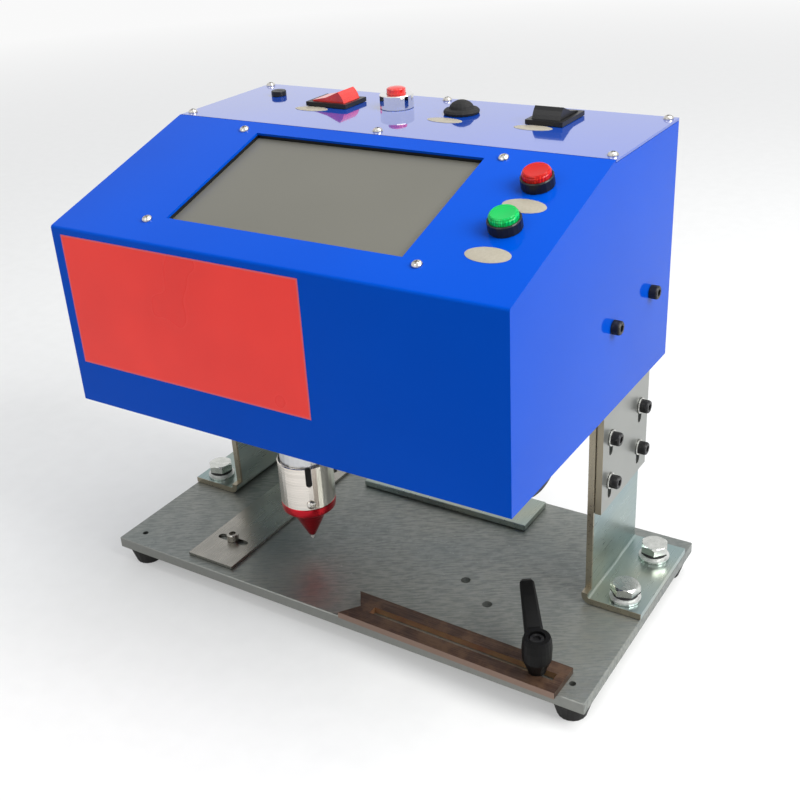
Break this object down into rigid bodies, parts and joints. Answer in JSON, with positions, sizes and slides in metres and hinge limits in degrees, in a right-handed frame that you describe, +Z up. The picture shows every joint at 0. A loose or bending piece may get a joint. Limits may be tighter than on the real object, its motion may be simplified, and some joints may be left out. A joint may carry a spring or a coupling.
{
  "type": "nameplate marking machine",
  "caption": "Bench machine that marks nameplates: a stylus head on an XY gantry inside a height-adjustable cover with display and switches, over a bed plate with fence, stop and clamp.",
  "frame": {"origin": "on the table, under the middle of the machine's footprint box", "axes": "+X to the operator's right along the bed, +Y to the rear, +Z up"},
  "size_m": [0.36, 0.217, 0.3181],
  "materials": {
    "plated_steel": "zinc plated, pale grey with faint green and blue tints",
    "stainless": "ground stainless steel",
    "black_steel": "black oxide",
    "brown_steel": "dark oxidised steel, satin",
    "blue_paint": "glossy deep blue baked paint",
    "black_plastic": "satin black moulding",
    "rubber": "matte black rubber",
    "chrome": "mirror chrome",
    "red_plastic": "glossy red",
    "green_plastic": "glossy translucent green",
    "red_anodised": "red anodised, turned",
    "screen": "unlit touch panel, grey",
    "board": "green circuit board",
    "aluminium": "machined, satin",
    "copper": "enamelled copper winding"
  },
  "bodies": {
    "base": {"base_plate": "plated_steel", "foot_front_left": "rubber", "foot_front_right": "rubber", "foot_rear_left": "rubber", "foot_rear_right": "rubber", "left_bracket": "plated_steel", "right_bracket": "plated_steel", "bolt_left_front": "plated_steel", "bolt_left_rear": "plated_steel", "bolt_right_front": "plated_steel", "bolt_right_rear": "plated_steel", "slide_screw_left_front_low": "black_steel", "slide_screw_left_front_high": "black_steel", "slide_screw_left_rear_low": "black_steel", "slide_screw_left_rear_high": "black_steel", "slide_screw_right_front_low": "black_steel", "slide_screw_right_front_high": "black_steel", "slide_screw_right_rear_low": "black_steel", "slide_screw_right_rear_high": "black_steel", "rear_stop_plate": "plated_steel", "fence_screw_front": "stainless", "fence_screw_rear": "stainless", "lever_insert": "black_steel"},
    "fence": {"side_fence": "stainless"},
    "bar": {"clamp_bar": "brown_steel"},
    "lever": {"clamp_lever": "black_plastic"},
    "marking_unit": {"lift_frame": "plated_steel", "housing": "blue_paint", "top_panel": "blue_paint", "display_frame": "black_plastic", "touch_glass": "screen", "red_button_bezel": "black_plastic", "green_button_bezel": "black_plastic", "chrome_button_body": "chrome", "power_switch_body": "black_plastic", "light_switch_body": "black_plastic", "y_rail_left": "stainless", "y_rail_right": "stainless", "y_motor": "black_steel", "power_supply": "aluminium", "control_board": "board", "wiring_loop": "rubber"},
    "red_press": {"red_button": "red_plastic"},
    "green_press": {"green_button": "green_plastic"},
    "chrome_press": {"chrome_button_cap": "red_plastic"},
    "power_rock": {"power_rocker": "red_plastic"},
    "light_rock": {"light_rocker": "black_plastic"},
    "fuse_turn": {"fuse_cap": "black_plastic"},
    "dust_plug": {"dust_cap": "rubber"},
    "y_screw": {"y_lead_screw": "stainless"},
    "x_screw": {"x_lead_screw": "stainless"},
    "gantry": {"gantry_beam": "aluminium", "x_rail": "stainless", "x_motor": "black_steel"},
    "head": {"head_carriage": "aluminium", "head_core": "aluminium", "head_sleeve": "stainless", "nose_cone": "red_anodised", "striking_coil": "copper"},
    "stylus": {"stylus_pin": "stainless"}
  },
  "joints": [
    {"name": "unit_height", "type": "slide", "parent": "base", "child": "marking_unit", "axis": [0, 0, 1], "range_m": [0, 0.009]},
    {"name": "fence_slide", "type": "slide", "parent": "base", "child": "fence", "axis": [1, 0, 0], "range_m": [-0.0097, 0.0097]},
    {"name": "bar_slide", "type": "slide", "parent": "base", "child": "bar", "axis": [0.9998, -0.0192, 0], "range_m": [-0.0075, 0.1125]},
    {"name": "lever_turn", "type": "hinge", "parent": "base", "child": "lever", "pos_m": [0.1465, -0.0705, 0.0203], "axis": [0, 0, 1], "range_deg": [-60, 100]},
    {"name": "red_button_press", "type": "slide", "parent": "marking_unit", "child": "red_press", "axis": [0, 0.2949, -0.9555], "range_m": [0, 0.0025], "stiffness_N_per_m": 800, "springref_m": -0.0012},
    {"name": "green_button_press", "type": "slide", "parent": "marking_unit", "child": "green_press", "axis": [0, 0.2949, -0.9555], "range_m": [0, 0.0025], "stiffness_N_per_m": 800, "springref_m": -0.0012},
    {"name": "chrome_button_press", "type": "slide", "parent": "marking_unit", "child": "chrome_press", "axis": [0, 0, -1], "range_m": [0, 0.0025], "stiffness_N_per_m": 800, "springref_m": -0.0012},
    {"name": "power_rock", "type": "hinge", "parent": "marking_unit", "child": "power_rock", "pos_m": [-0.0675, 0.072, 0.3048], "axis": [0, 1, 0], "range_deg": [0, 34]},
    {"name": "light_rock", "type": "hinge", "parent": "marking_unit", "child": "light_rock", "pos_m": [0.085, 0.0795, 0.3048], "axis": [1, 0, 0], "range_deg": [0, 34]},
    {"name": "fuse_cap_turn", "type": "hinge", "parent": "marking_unit", "child": "fuse_turn", "pos_m": [-0.1202, 0.0793, 0.3048], "axis": [0, 0, 1], "range_deg": [0, 90]},
    {"name": "dust_cap_pull", "type": "slide", "parent": "marking_unit", "child": "dust_plug", "axis": [0, 0, 1], "range_m": [0, 0.012]},
    {"name": "gantry_slide", "type": "slide", "parent": "marking_unit", "child": "gantry", "axis": [0, 1, 0], "range_m": [-0.042, 0.036]},
    {"name": "y_screw_turn", "type": "hinge", "parent": "marking_unit", "child": "y_screw", "pos_m": [-0.12, 0.011, 0.2353], "axis": [0, 1, 0], "range_deg": [-1900, 1630]},
    {"name": "head_slide", "type": "slide", "parent": "gantry", "child": "head", "axis": [1, 0, 0], "range_m": [-0.028, 0.098]},
    {"name": "x_screw_turn", "type": "hinge", "parent": "gantry", "child": "x_screw", "pos_m": [0, 0.005, 0.2353], "axis": [1, 0, 0], "range_deg": [-1270, 4420]},
    {"name": "stylus_strike", "type": "slide", "parent": "head", "child": "stylus", "axis": [0, 0, -1], "range_m": [0, 0.004], "stiffness_N_per_m": 600, "springref_m": -0.002}
  ],
  "couplings": [
    {"joint": "y_screw_turn", "follows": "gantry_slide", "rad_per_m": 785.4},
    {"joint": "x_screw_turn", "follows": "head_slide", "rad_per_m": 785.4}
  ]
}
